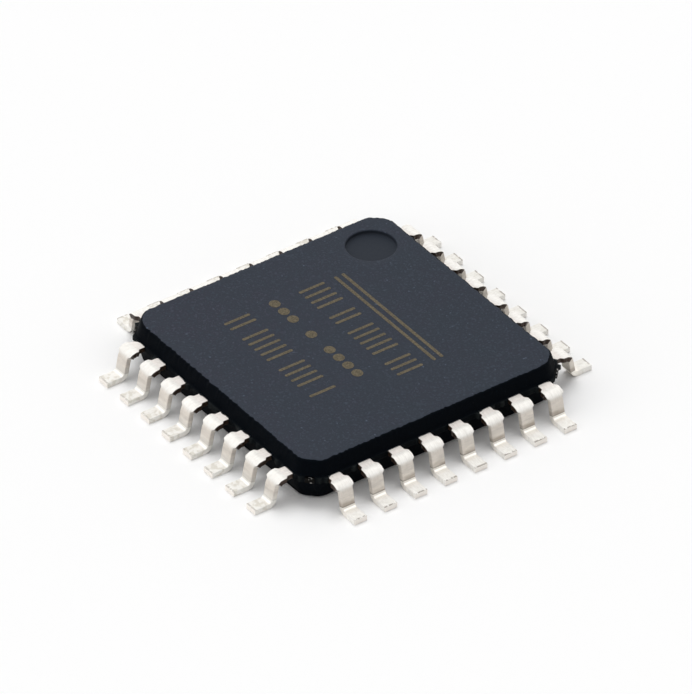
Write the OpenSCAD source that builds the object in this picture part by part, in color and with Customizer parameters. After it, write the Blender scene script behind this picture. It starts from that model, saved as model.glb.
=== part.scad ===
// Quad flat package: a moulded chip that stands on gull-wing leads along all four sides.
// The origin is the middle of the package on the board plane that the feet stand on, +Z is up,
// and pin 1 is the first lead of the -X side, beside the corner at -X +Y.

/* [Moulded body] */
// Side of the square body, over the rim between the leads
body_size = 7; // [7:0.1:10]
// Height of the body from its bottom face to its top face
body_thickness = 1; // [1:0.05:1.4]
// Gap between the bottom face and the board
standoff = 0.05; // [0.05:0.01:0.15]
// Depth of the top surface of the leads below the top face of the body
lead_depth = 0.36; // [0.3:0.01:0.45]
// Draft of the side walls, in degrees
draft = 15; // [5:1:20]
// How far the rim between the leads stands out past the walls above and below it
rim_step = 0.035; // [0.01:0.005:0.06]
// Length that each corner cut takes from a side of the top face
corner_cut = 0.34; // [0.2:0.01:0.5]
// Radius that a narrow facet follows at each end of a corner cut, over the rim
corner_rounding = 0.45; // [0.2:0.05:0.45]

/* [Round recesses] */
// Diameter of the pin 1 dimple in the top face
dimple_diameter = 1.14; // [0.6:0.02:1.2]
// Depth of the pin 1 dimple
dimple_depth = 0.1; // [0.04:0.01:0.14]
// Distance of the middle of the dimple from the two sides of the body beside it
dimple_inset = 1.07; // [1:0.01:1.3]
// Diameter of the ejector mark in the bottom face
ejector_diameter = 1.2; // [0.8:0.1:1.6]
// Depth of the ejector mark
ejector_depth = 0.03; // [0.01:0.01:0.06]

/* [Leads] */
// Number of leads along each side
leads_per_side = 8; // [6:1:8]
// Distance from lead to lead
pitch = 0.8; // [0.65:0.05:0.8]
// Thickness of the lead frame strip
lead_thickness = 0.127; // [0.1:0.001:0.16]
// Width of a lead at the body, down its leg and along its foot
lead_width = 0.33; // [0.26:0.01:0.38]
// How far the toe of a lead stands out from the side of the body
lead_reach = 1; // [0.95:0.01:1.2]
// Length of the level stretch between the body and the shoulder bend
shoulder_length = 0.25; // [0.2:0.005:0.27]
// Radius inside the shoulder bend
shoulder_radius = 0.123; // [0.08:0.001:0.13]
// Radius inside the heel bend
heel_radius = 0.09; // [0.06:0.01:0.12]
// Lean of the leg away from upright, in degrees
leg_lean = 11.5; // [8:0.5:16]

/* [Dam bar stubs] */
// Width of a lead across the stubs where the dam bar was cut away
stub_width = 0.46; // [0.42:0.01:0.5]
// Distance from the body to the start of the stubs
stub_start = 0.17; // [0.1:0.01:0.19]
// Turn of the shoulder bend at which the stubs end, in degrees
stub_turn = 50; // [30:1:64]

/* [Lead frame inside the body] */
// Length over which a lead runs straight into the body before it fans inwards
root_length = 0.25; // [0.2:0.01:0.3]
// Width of a lead at its inner tip
tip_width = 0.22; // [0.16:0.01:0.26]
// Length of the straight stretch at an inner tip
tip_length = 0.35; // [0.25:0.01:0.45]
// Gap between the inner tips and the die paddle, seen from above
tip_gap = 0.25; // [0.2:0.01:0.35]
// Distance of the outer tips of a side from the ends of the paddle's side
tip_margin = 0.23; // [0.15:0.01:0.3]
// Side of the square die paddle
paddle_size = 3.4; // [2.8:0.1:3.6]
// How far the paddle lies below the leads
paddle_downset = 0.16; // [0.12:0.01:0.24]
// Width of the tie bars from the paddle to the corners
tie_width = 0.2; // [0.12:0.01:0.22]
// How far a cut tie bar stands out of its corner
tie_stub = 0.03; // [0.02:0.01:0.1]

/* [Die and bond wires] */
// Side of the square silicon die
die_size = 2.4; // [1.8:0.1:2.6]
// Thickness of the silicon die
die_thickness = 0.2; // [0.15:0.01:0.25]
// Thickness of the adhesive between the paddle and the die
attach_thickness = 0.02; // [0.01:0.005:0.04]
// Distance of the bond pads from the edge of the die
pad_inset = 0.08; // [0.06:0.01:0.15]
// Distance of the outer bond pads of a side from the ends of that side of the die
pad_margin = 0.29; // [0.2:0.01:0.4]
// Diameter of the gold wire
wire_diameter = 0.025; // [0.02:0.001:0.033]
// Height of a wire's arc over the straight line between its two bonds
loop_rise = 0.12; // [0.08:0.01:0.15]
// Diameter of the ball bond on the die
ball_diameter = 0.075; // [0.06:0.005:0.09]
// Diameter of the stitch bond on the lead
stitch_diameter = 0.06; // [0.05:0.005:0.08]
// Distance of the stitch bond from the inner tip of its lead
stitch_inset = 0.12; // [0.08:0.01:0.18]

/* [Hidden] */
SIDES = ["west", "south", "east", "north"];
lead_count = len(SIDES) * leads_per_side;
$fn = 48;

// Levels above the board
body_top = standoff + body_thickness;
lead_top = body_top - lead_depth;
lead_bottom = lead_top - lead_thickness;
paddle_top = lead_top - paddle_downset;
paddle_bottom = paddle_top - lead_thickness;
attach_top = paddle_top + attach_thickness;
die_top = attach_top + die_thickness;

// Distances from the middle of the package
body_half = body_size / 2;
wall_half = body_half - rim_step;
top_half = wall_half - (body_top - lead_top) * tan(draft);
corner_half = body_half - top_half + (2 * top_half - corner_cut) / sqrt(2);
facet_turn = 22.5;
facet_half = corner_rounding + (body_half - corner_rounding) * cos(facet_turn)
    + ((corner_half - corner_rounding) * sqrt(2) - body_half + corner_rounding) * sin(facet_turn);
paddle_half = paddle_size / 2;
tip_radius = paddle_half + tip_gap;
die_half = die_size / 2;

// The gull wing of a lead, in its upright plane: distance from the middle and height
bend_angle = 90 - leg_lean;
bend_start = body_half + shoulder_length;
shoulder_outer = shoulder_radius + lead_thickness;
heel_outer = heel_radius + lead_thickness;
bend_drop = (shoulder_outer + heel_radius) * (1 - cos(bend_angle));
leg_length = (lead_top - lead_thickness - bend_drop) / sin(bend_angle);
bend_run = (shoulder_outer + heel_radius) * sin(bend_angle);
foot_start = bend_start + bend_run + leg_length * cos(bend_angle);
toe = body_half + lead_reach;
shoulder_centre = [bend_start, lead_top - shoulder_outer];
heel_centre = [foot_start, heel_outer];
bend_steps = 9;

// Spacing of the inner tips and of the bond pads along one side
tip_pitch = (paddle_size - 2 * tip_margin) / (leads_per_side - 1);
pad_pitch = (die_size - 2 * pad_margin) / (leads_per_side - 1);
ball_height = 1.2 * wire_diameter;
stitch_height = 0.8 * wire_diameter;
stitch_lift = 0.54 * wire_diameter;

// Length by which a cutter passes the face that it opens
over = 0.1;

function two_digits(n) = n < 10 ? str("0", n) : str(n);
function lead_name(pin) = str("lead_", two_digits(pin));
function wire_name(side) = str("bond_wires_", side);

// Pins count counterclockwise from the -X side; each side turns a lead that points to +X
function side_of(pin) = floor((pin - 1) / leads_per_side);
function place_of(pin) = (pin - 1) % leads_per_side;
function turn_of(side) = 180 + 90 * side;
function along(place, spacing) = (place - (leads_per_side - 1) / 2) * spacing;

// Section of the body: drafted walls above and below a level rim, to a given half width each way
function body_section(left, right) = let (
    slope = tan(draft),
    upper = rim_step + (body_top - lead_top) * slope,
    lower = rim_step + (lead_bottom - standoff) * slope,
    edge = [
        [lower, standoff], [rim_step, lead_bottom], [0, lead_bottom],
        [0, lead_top], [rim_step, lead_top], [upper, body_top]
    ]
) concat(
    [for (p = edge) [right - p[0], p[1]]],
    [for (k = [len(edge) - 1:-1:0]) [edge[k][0] - left, edge[k][1]]]
);

// A slab with the body's section, long enough to pass the corners
module body_slab(half) {
    rotate([90, 0, 0])
        linear_extrude(2 * body_size, center = true)
            polygon(body_section(half, half));
}

// The outside of the body: drafted slabs give the sides, the cut corners and the narrow facets
module body_form() {
    intersection() {
        body_slab(body_half);
        rotate([0, 0, 90]) body_slab(body_half);
        rotate([0, 0, 45]) body_slab(corner_half);
        rotate([0, 0, 135]) body_slab(corner_half);
        rotate([0, 0, facet_turn]) body_slab(facet_half);
        rotate([0, 0, 90 - facet_turn]) body_slab(facet_half);
        rotate([0, 0, 90 + facet_turn]) body_slab(facet_half);
        rotate([0, 0, 180 - facet_turn]) body_slab(facet_half);
    }
}

// The flat part of a lead, from its inner tip out to the stubs
module lead_finger(place) {
    root = along(place, pitch);
    tip = along(place, tip_pitch);
    stations = [
        [tip_radius, tip, tip_width],
        [tip_radius + tip_length, tip, tip_width],
        [body_half - root_length, root, lead_width],
        [body_half + stub_start / 2, root, lead_width]
    ];
    translate([0, 0, lead_bottom])
        linear_extrude(lead_thickness)
            polygon(concat(
                [for (s = stations) [s[0], s[1] - s[2] / 2]],
                [for (k = [len(stations) - 1:-1:0])
                    [stations[k][0], stations[k][1] + stations[k][2] / 2]]
            ));
}

// Points along an arc, from one direction to another, in degrees
function arc(centre, radius, from, to) =
    [for (k = [0:bend_steps]) let (a = from + (to - from) * k / bend_steps)
        centre + radius * [cos(a), sin(a)]];

// Side view of the bent strip outside the body: out along the top surface to the toe, and back
module gull_wing_section() {
    inside = body_half - root_length / 2;
    polygon(concat(
        [[inside, lead_top]],
        arc(shoulder_centre, shoulder_outer, 90, leg_lean),
        arc(heel_centre, heel_radius, 180 + leg_lean, 270),
        [[toe, lead_thickness], [toe, 0]],
        arc(heel_centre, heel_outer, 270, 180 + leg_lean),
        arc(shoulder_centre, shoulder_radius, leg_lean, 90),
        [[inside, lead_bottom]]
    ));
}

// The parts of the side view where the lead is narrower than across its stubs
module narrow_part_sections() {
    ray = 90 - stub_turn;
    translate([body_half - root_length, lead_bottom - over])
        square([root_length + stub_start, lead_thickness + 2 * over]);
    polygon([
        shoulder_centre,
        shoulder_centre + 2 * shoulder_outer * [cos(ray), sin(ray)],
        [toe + over, lead_top],
        [toe + over, -over],
        [bend_start, -over]
    ]);
}

// The bent part of a lead, with the stubs of the dam bar over the shoulder
module gull_wing() {
    rotate([90, 0, 0])
        difference() {
            linear_extrude(stub_width, center = true)
                gull_wing_section();
            for (side = [-1, 1])
                translate([0, 0, side * (lead_width + stub_width) / 2])
                    linear_extrude(stub_width, center = true)
                        narrow_part_sections();
        }
}

// A whole lead, as punched and bent from the strip
module lead(pin) {
    color([0.88, 0.87, 0.84])
        rotate([0, 0, turn_of(side_of(pin))])
            union() {
                lead_finger(place_of(pin));
                translate([0, along(place_of(pin), pitch), 0])
                    gull_wing();
            }
}

// A tie bar along +X: level at the corner, with a step down to the paddle
module tie_bar() {
    step_out = corner_half - (corner_half - paddle_half * sqrt(2)) * 0.6;
    step_in = step_out - 2 * paddle_downset;
    rotate([90, 0, 0])
        linear_extrude(tie_width, center = true)
            polygon([
                [paddle_half, paddle_bottom],
                [step_in, paddle_bottom],
                [step_out, lead_bottom],
                [corner_half + tie_stub, lead_bottom],
                [corner_half + tie_stub, lead_top],
                [step_out, lead_top],
                [step_in, paddle_top],
                [paddle_half, paddle_top]
            ]);
}

module die_paddle() {
    color([0.72, 0.45, 0.3])
        union() {
            translate([-paddle_half, -paddle_half, paddle_bottom])
                cube([paddle_size, paddle_size, lead_thickness]);
            for (corner = [45:90:315])
                rotate([0, 0, corner]) tie_bar();
        }
}

module die_attach() {
    color([0.75, 0.75, 0.72])
        translate([-die_half, -die_half, paddle_top])
            cube([die_size, die_size, attach_thickness]);
}

module silicon_die() {
    color([0.35, 0.38, 0.45])
        translate([-die_half, -die_half, attach_top])
            cube([die_size, die_size, die_thickness]);
}

// One gold wire that points to +X: ball bond, arc and stitch bond
module bond_wire(place) {
    pad = [die_half - pad_inset, along(place, pad_pitch), die_top];
    stitch = [tip_radius + stitch_inset, along(place, tip_pitch), lead_top];
    start = pad + [0, 0, ball_height / 2];
    end = stitch + [0, 0, stitch_lift];
    run = norm([end[0] - start[0], end[1] - start[1]]);
    fall = end[2] - start[2];
    chord = norm([run, fall]);
    radius = (chord * chord / 4 + loop_rise * loop_rise) / (2 * loop_rise);
    half_turn = asin(chord / (2 * radius));
    translate(start)
        rotate([0, -atan2(fall, run), atan2(end[1] - start[1], end[0] - start[0])])
            translate([chord / 2, 0, loop_rise - radius])
                rotate([90, 0, 0])
                    rotate([0, 0, 90 - half_turn])
                        rotate_extrude(angle = 2 * half_turn)
                            translate([radius, 0])
                                circle(d = wire_diameter);
    translate(pad) cylinder(d = ball_diameter, h = ball_height);
    translate(stitch) cylinder(d = stitch_diameter, h = stitch_height);
}

// The wires of one side of the die
module bond_wires(side) {
    color([0.95, 0.75, 0.3])
        rotate([0, 0, turn_of(side)])
            for (place = [0:leads_per_side - 1])
                bond_wire(place);
}

// The moulding, cast round the lead frame, the die and the wires
module mould_body() {
    dimple = body_half - dimple_inset;
    color([0.22, 0.24, 0.27])
        difference() {
            body_form();
            translate([-dimple, dimple, body_top - dimple_depth])
                cylinder(d = dimple_diameter, h = dimple_depth + over);
            translate([0, 0, standoff - over])
                cylinder(d = ejector_diameter, h = ejector_depth + over);
            for (pin = [1:lead_count])
                rotate([0, 0, turn_of(side_of(pin))]) lead_finger(place_of(pin));
            die_paddle();
            die_attach();
            silicon_die();
            for (side = [0:len(SIDES) - 1]) bond_wires(side);
        }
}

mould_body();
die_paddle();
die_attach();
silicon_die();
for (pin = [1:lead_count])
    lead(pin);
for (side = [0:len(SIDES) - 1])
    bond_wires(side);
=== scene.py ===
import bpy
import numpy as np
from bpy.props import FloatProperty, FloatVectorProperty, PointerProperty
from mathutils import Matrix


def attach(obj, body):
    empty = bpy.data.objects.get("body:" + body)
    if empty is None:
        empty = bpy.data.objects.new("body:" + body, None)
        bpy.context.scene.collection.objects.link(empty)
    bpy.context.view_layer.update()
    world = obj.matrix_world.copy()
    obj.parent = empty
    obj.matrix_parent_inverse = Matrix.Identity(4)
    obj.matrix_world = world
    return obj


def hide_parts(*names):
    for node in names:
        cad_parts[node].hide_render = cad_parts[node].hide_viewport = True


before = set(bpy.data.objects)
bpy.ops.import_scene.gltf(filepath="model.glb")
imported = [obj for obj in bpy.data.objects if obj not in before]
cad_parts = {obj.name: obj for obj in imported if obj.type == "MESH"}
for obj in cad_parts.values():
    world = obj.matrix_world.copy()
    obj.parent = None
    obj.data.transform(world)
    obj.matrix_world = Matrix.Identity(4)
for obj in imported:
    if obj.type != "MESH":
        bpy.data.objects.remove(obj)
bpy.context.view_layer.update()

bl_info = {
    "name": "Quad flat package",
    "version": (1, 0, 0),
    "blender": (4, 5, 0),
    "location": "View3D > Sidebar > Chip",
    "description": "Moulded body, tinned gull-wing leads and laser marks around a packed quad flat package",
    "category": "Object",
}

MM = 0.001
NEAR = 0.002 * MM        # points this close to an outermost one count as level with it
RAMP_REACH = 1.4         # millimetres along a lead, from the body, at which its colour ramps end
VIEW_MIDDLE = np.array([-0.29353, 0.22433, 0.5]) * MM


# ---------------------------------------------------------------- settings

def millimetres(name, description, value, low=0.0, high=10.0):
    """A length property whose default is given in millimetres."""
    return FloatProperty(name=name, description=description, default=value * MM,
                         min=low * MM, max=high * MM, precision=6, unit="LENGTH")


def degrees(name, description, value):
    """An angle property whose default is given in degrees."""
    return FloatProperty(name=name, description=description, default=np.radians(value),
                         subtype="ANGLE")


def share(name, description, value, high=1.0):
    """A plain number from nothing to high."""
    return FloatProperty(name=name, description=description, default=value, min=0.0, max=high)


def colour(name, description, value):
    """A linear colour property."""
    return FloatVectorProperty(name=name, description=description, default=value,
                               subtype="COLOR", size=3, min=0.0, max=1.0)


class BodySettings(bpy.types.PropertyGroup):
    """Sizes and colours of the moulded body."""

    rim_step: millimetres("Rim step", "How far the rim stands out past the walls", 0.035)
    corner_rounding: millimetres("Corner rounding", "Radius of the upright corners at the rim", 0.5)
    edge_rounding: millimetres("Edge rounding", "Radius of the edge round the top face", 0.05)
    rim_rounding: millimetres("Rim rounding", "Radius of the edges of the rim", 0.008)
    recess_rounding: millimetres("Recess rounding", "Radius of the edges of the recesses", 0.03)
    flash_depth: millimetres("Flash depth", "Most that resin squeezed out between the leads", 0.05)
    flash_reach: millimetres("Flash reach", "Most that a scrap of resin runs out beside a lead", 0.15)
    edge_wear: millimetres("Edge wear", "Depth of the ragged grain along the top edge", 0.06)
    top_colour: colour("Top colour", "Matte compound of the top face", (0.0325, 0.0415, 0.0585))
    # darker than the top colour: painted shade on the drafted walls and the rim
    shaded_side_colour: colour("Side colour", "Compound of the drafted walls", (0.0012, 0.0026, 0.0046))
    scrap_colour: colour("Scrap colour", "Thin scraps of resin beside the leads", (0.20, 0.20, 0.19))
    flash_colour: colour("Flash colour", "Thin resin between the leads", (0.022, 0.026, 0.026))
    roughness: share("Roughness", "Roughness of the compound", 0.62)


class LeadSettings(bpy.types.PropertyGroup):
    """Bends, stubs and finish of the leads."""

    shoulder_length: millimetres("Shoulder length", "Level stretch before the shoulder bend", 0.25)
    shoulder_radius: millimetres("Shoulder radius", "Radius inside the shoulder bend", 0.123)
    heel_radius: millimetres("Heel radius", "Radius inside the heel bend", 0.09)
    leg_lean: degrees("Leg lean", "Lean of the leg away from upright", 11.5)
    root_length: millimetres("Root length", "Straight stretch inside the body", 0.25)
    tip_length: millimetres("Tip length", "Straight stretch at the inner tip", 0.35)
    stub_width: millimetres("Stub width", "Width across the dam bar stubs", 0.46)
    stub_start: millimetres("Stub start", "Distance from the body to the stubs", 0.17)
    stub_slant: millimetres("Stub slant", "Length over which the stubs reach their width", 0.08)
    stub_turn: degrees("Stub turn", "Turn of the shoulder bend where the stubs end", 50.0)
    stub_fade: millimetres("Stub fade", "Length over which the stubs run out", 0.05)
    edge_rounding: millimetres("Edge rounding", "Radius of the punched upper edges", 0.016)
    tin_colour: colour("Tin colour", "Matte tin plating", (0.95, 0.93, 0.885))
    neck_colour: colour("Neck colour", "Tin beside the body, dulled by the mould", (0.98, 0.925, 0.875))
    # darker than the tin: partly wear from the bending tool, partly painted shade of the steep leg
    leg_wear_and_shade_colour: colour("Leg colour", "Tin wiped by the bending tool", (0.77, 0.71, 0.635))
    # painted shade: the dark brown for the low leg, the bend above the heel and the toe's edge, mostly on
    # the +X and +Y sides
    crease_shade_colour: colour("Crease colour", "Duller tin above the heel", (0.66, 0.58, 0.49))
    # dark: bare metal on the dam bar cuts, darkened further as painted shade, and painted shade on the sides
    # of the necks
    cut_and_shade_colour: colour("Cut colour", "Bare metal where the dam bar was cut", (0.035, 0.018, 0.010))
    metallic: share("Metallic", "Share of metal gloss where the tool pressed the heel", 0.85)
    roughness: share("Roughness", "Roughness of the plating", 0.42)


class MarkSettings(bpy.types.PropertyGroup):
    """Plain laser marks on the top face."""

    stroke: millimetres("Stroke", "Width of one laser stroke", 0.085)
    height: millimetres("Height", "Height of the upright strokes", 0.6)
    spacing: millimetres("Spacing", "Distance from stroke to stroke", 0.23)
    left: millimetres("Left", "Place of the first stroke along X", -1.9, -10.0)
    raise_height: millimetres("Raise", "Height of the marks over the top face", 0.003)
    mark_colour: colour("Mark colour", "Olive gold of the marked compound", (0.120, 0.100, 0.066))


class StageSettings(bpy.types.PropertyGroup):
    """Floor, lights and camera."""

    floor_colour: colour("Floor colour", "White floor", (0.985, 0.985, 0.985))
    sky_strength: share("Sky strength", "Level of the light from all round", 0.545, 4.0)
    dome_low: share("Dome low", "Gloss that the dim side of the studio gives", 0.35, 2.0)
    dome_high: share("Dome high", "Gloss that the bright side of the studio gives", 1.4, 2.0)
    key_strength: share("Key strength", "Level of the soft light from above and behind", 1.2, 10.0)
    key_azimuth: degrees("Key azimuth", "Direction of the key light, from +X towards +Y", 152.0)
    key_elevation: degrees("Key elevation", "Height of the key light over the floor", 66.0)
    key_angle: degrees("Key angle", "Apparent size of the key light", 40.0)
    fill_strength: share("Fill strength", "Level of the soft light from the left", 0.66, 10.0)
    fill_azimuth: degrees("Fill azimuth", "Direction of the fill light, from +X towards +Y", 258.0)
    fill_elevation: degrees("Fill elevation", "Height of the fill light over the floor", 32.0)
    fill_angle: degrees("Fill angle", "Apparent size of the fill light", 60.0)
    camera_azimuth: degrees("Camera azimuth", "Direction of the camera, from -Y towards +X", 54.551)
    camera_elevation: degrees("Camera elevation", "Height of the camera over the floor", 36.620)
    camera_roll: degrees("Camera roll", "Turn of the camera about its view", -0.073)
    camera_distance: millimetres("Camera distance", "Distance of the camera", 250.0, 1.0, 1000.0)
    focal_length: FloatProperty(name="Focal length", description="Lens, in millimetres on a 36 mm sensor",
                                default=593.52, min=1.0)


# ---------------------------------------------------------------- measures from the frame

def cad_points(node):
    """All vertices of a CAD node, in metres, as one array."""
    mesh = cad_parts[node].data
    points = np.empty(len(mesh.vertices) * 3)
    mesh.vertices.foreach_get("co", points)
    return points.reshape(-1, 3)


def body_measures():
    """Levels and half widths of the moulded body, and its two round recesses, read from the frame."""
    points = cad_points("mould_body")
    low, high = points.min(0), points.max(0)
    outward = np.abs(points[:, :2]).max(1)
    rim = points[outward > high[0] - NEAR, 2]
    on_top = outward[np.abs(points[:, 2] - high[2]) < NEAR]
    corner = (np.abs(points[:, 0]) + np.abs(points[:, 1])).max() / np.sqrt(2)
    return {
        "half": high[0], "top": high[2], "bottom": low[2],
        "rim_low": rim.min(), "rim_high": rim.max(),
        "top_half": on_top.max(), "corner_half": corner,
        "dimple": recess(points, high[2], -1), "ejector": recess(points, low[2], 1),
    }


def recess(points, level, direction):
    """Centre, radius and floor level of the round recess sunk from a level, going down or up."""
    shallow, deep = 0.01 * MM, 0.15 * MM
    depth = (points[:, 2] - level) * direction
    floor = depth[(depth > shallow) & (depth < deep)].min()
    ring = points[np.abs(depth - floor) < NEAR, :2]
    centre = (ring.min(0) + ring.max(0)) / 2
    radius = np.hypot(*(ring - centre).T).max()
    return {"centre": centre, "radius": radius, "level": level + direction * floor}


def lead_names():
    """The CAD nodes of the leads, in the order of their numbers."""
    return sorted(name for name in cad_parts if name.startswith("lead_"))


def lead_measures(node):
    """Direction, widths and levels of one lead, read from the frame. Its own X points outwards."""
    points = cad_points(node)
    middle = (points.min(0) + points.max(0))[:2] / 2
    axis = np.argmax(np.abs(middle))
    outward = np.zeros(2)
    outward[axis] = np.sign(middle[axis])
    sideways = np.array([-outward[1], outward[0]])
    out, side, up = points[:, :2] @ outward, points[:, :2] @ sideways, points[:, 2]
    toe = out > out.max() - NEAR
    tip = out < out.min() + NEAR
    return {
        "outward": outward, "sideways": sideways, "toe": out.max(), "tip": out.min(),
        "top": up.max(), "thickness": up[toe].max() - up[toe].min(),
        "root_side": side[toe].mean(), "tip_side": side[tip].mean(),
        "width": np.ptp(side[toe]), "tip_width": np.ptp(side[tip]),
    }


# ---------------------------------------------------------------- meshes

def placed(name, data):
    """A new object of the scene with this data, at the origin."""
    made = bpy.data.objects.new(name, data)
    bpy.context.scene.collection.objects.link(made)
    return made


def plain_mesh(name, points, faces):
    """A new mesh object from lists of points and of faces."""
    mesh = bpy.data.meshes.new(name)
    mesh.from_pydata(points, [], faces)
    return placed(name, mesh)


def closed_mesh(name, rings, poles, attributes, ring_materials=None):
    """A closed surface from rings of points and the two end points, its poles.

    rings is an array of ring, column and coordinate. Neighbouring rings are joined by quads all the
    way round, and the first and last ring are joined to their pole by triangles. The faces are
    turned round if the volume that they enclose comes out negative.
    """
    count, columns = rings.shape[:2]
    points = np.vstack([rings.reshape(-1, 3), poles])
    here = np.arange(columns)
    after = (here + 1) % columns
    start = (np.arange(count - 1) * columns)[:, None]
    quads = np.stack([start + here, start + after, start + columns + after, start + columns + here], -1)
    quads = quads.reshape(-1, 4)
    last = (count - 1) * columns
    first_fan = np.stack([np.full(columns, len(points) - 2), after, here], -1)
    last_fan = np.stack([np.full(columns, len(points) - 1), last + here, last + after], -1)
    fans = np.vstack([first_fan, last_fan])
    triangles = np.vstack([quads[:, [0, 1, 2]], quads[:, [0, 2, 3]], fans])
    corners = points[triangles]
    volume = np.einsum("ij,ij->i", corners[:, 0], np.cross(corners[:, 1], corners[:, 2])).sum()
    if volume < 0:
        quads, fans = quads[:, ::-1], fans[:, ::-1]
    piece = plain_mesh(name, points.tolist(), quads.tolist() + fans.tolist())
    mesh = piece.data
    mesh.shade_smooth()
    for key, values in attributes.items():
        store(mesh, key, np.concatenate([values.reshape(-1), values[[0, -1], 0]]))
    if ring_materials is not None:
        index = np.concatenate([np.repeat(ring_materials[:-1], columns),
                                np.repeat(ring_materials[[0, -1]], columns)])
        mesh.polygons.foreach_set("material_index", index.astype(np.int32))
    return piece


def store(mesh, key, values):
    """Keeps one number for each vertex as an attribute that the materials read."""
    layer = mesh.attributes.new(key, "FLOAT", "POINT")
    layer.data.foreach_set("value", values.astype(np.float32))


def joined_mesh(name, parts):
    """One object from several closed shells, each a pair of points and lists of faces."""
    points, faces, shift = [], [], 0
    for shell_points, shell_faces in parts:
        points.append(shell_points)
        faces += [[corner + shift for corner in face] for face in shell_faces]
        shift += len(shell_points)
    return plain_mesh(name, np.vstack(points).tolist(), faces)


def wobble(distance, spacing, seed, span=None):
    """Smooth random values from -1 to 1 along a distance: one random value every spacing, joined
    by cosine steps. With a span, the values repeat after it, so a closed outline has no jump."""
    steps = int(np.ceil(np.ptp(distance) / spacing)) + 2 if span is None else int(round(span / spacing))
    place = (distance - distance.min()) / (spacing if span is None else span / steps)
    values = np.random.default_rng(seed).uniform(-1, 1, steps)
    left = np.floor(place).astype(int)
    blend = (1 - np.cos(np.pi * (place - left))) / 2
    return values[left % steps] * (1 - blend) + values[(left + 1) % steps] * blend


def quarter(steps):
    """Angles from nothing to a right angle, for a rounded edge."""
    return np.linspace(0, np.pi / 2, steps)


def arc(across, up, radius, across_turn, up_turn):
    """Points of a profile round a centre, from the factors of the radius in both directions."""
    return np.stack([across + radius * across_turn, up + radius * up_turn], 1)


# ---------------------------------------------------------------- moulded body

def octagon_walk(half, corner_half, rounding, spacing):
    """A walk round a square with cut corners: base points and outward directions.

    A point of the outline at offset d is base + (rounding + d) * direction. The base points run
    along an octagon whose sides lie at half and corner_half less the rounding, and at each of its
    corners the base stays while the direction turns by an eighth of a circle.
    """
    angles = np.arange(8) * np.pi / 4
    reach = np.where(np.arange(8) % 2 == 0, half, corner_half) - rounding
    normals = np.stack([np.cos(angles), np.sin(angles)], 1)
    corners = []
    for side in range(8):
        after = (side + 1) % 8
        corners.append(np.linalg.solve(normals[[side, after]], reach[[side, after]]))
    base, direction = [], []
    turn_steps = 6
    for side in range(8):
        start, end = corners[side - 1], corners[side]
        steps = max(4, int(np.linalg.norm(end - start) / spacing))
        along = np.linspace(0, 1, steps, endpoint=False)[:, None]
        base.append(start + (end - start) * along)
        direction.append(np.repeat(normals[side:side + 1], steps, 0))
        turned = angles[side] + np.linspace(0, np.pi / 4, turn_steps, endpoint=False)
        base.append(np.repeat(end[None], turn_steps, 0))
        direction.append(np.stack([np.cos(turned), np.sin(turned)], 1))
    return np.vstack(base), np.vstack(direction)


def body_profile(size, settings):
    """Offset and height of the outside of the body, from the top face down to the bottom face.

    The top edge is an arc that touches the top face and the drafted wall. The wall ends in the
    rim, a small square bead with rounded edges, and the lower wall mirrors the upper one. With the
    profile come the number of its points down to the wall's first, and an array that is 1 on the bead.
    """
    step, radius, bead = settings.rim_step, settings.edge_rounding, settings.rim_rounding
    draft = np.arctan((size["half"] - step - size["top_half"]) / (size["top"] - size["rim_high"]))
    turns = np.linspace(0, np.pi / 2 - draft, 9)
    line = -step * np.cos(draft)
    level = size["top"] - size["rim_high"] - radius
    centre = (line - radius - level * np.sin(draft)) / np.cos(draft)
    upper = arc(centre, size["top"] - radius, radius, np.sin(turns), np.cos(turns))
    wall = np.linspace(upper[-1], [-step, size["rim_high"]], 7)[1:]
    turn = quarter(4)
    bead_top = arc(-bead, size["rim_high"] - bead, bead, np.sin(turn), np.cos(turn))
    bead_face = np.linspace(bead_top[-1], [0, size["rim_low"] + bead], 5)[1:]
    bead_low = arc(-bead, size["rim_low"] + bead, bead, np.cos(turn), -np.sin(turn))[1:]
    fall = size["rim_low"] - size["bottom"]
    low_centre = (line - radius - (fall - radius) * np.sin(draft)) / np.cos(draft)
    low_turns = np.linspace(draft, np.pi / 2, 7)
    lower_edge = arc(low_centre, size["bottom"] + radius, radius, np.cos(low_turns), -np.sin(low_turns))
    lower_wall = np.linspace([-step, size["rim_low"]], lower_edge[0], 7)[:-1]
    profile = np.vstack([upper, wall, bead_top, bead_face, bead_low, lower_wall, lower_edge])
    top_end = len(upper) + 1
    on_bead = np.zeros(len(profile))
    first = len(upper) + len(wall)
    on_bead[first:first + len(bead_top) + len(bead_face) + len(bead_low)] = 1
    return profile, top_end, on_bead


def recess_profile(hole, face_level, rounding):
    """Radius and height of a round recess, from the middle of its floor out to the flat face.

    The floor meets the wall in a quarter circle, and the wall meets the face in another one.
    """
    sign = np.sign(face_level - hole["level"])
    depth = abs(face_level - hole["level"])
    fillet = min(rounding, depth / 2.2)
    turn = quarter(6)
    floor = np.array([[share_out * (hole["radius"] - fillet), 0] for share_out in (0.3, 0.6, 0.85)])
    inner = arc(hole["radius"] - fillet, fillet, fillet, np.sin(turn), -np.cos(turn))
    outer = arc(hole["radius"] + fillet, depth - fillet, fillet, -np.cos(turn), np.sin(turn))
    profile = np.vstack([floor, inner, outer])
    profile[:, 1] = hole["level"] + sign * profile[:, 1]
    return profile


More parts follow.
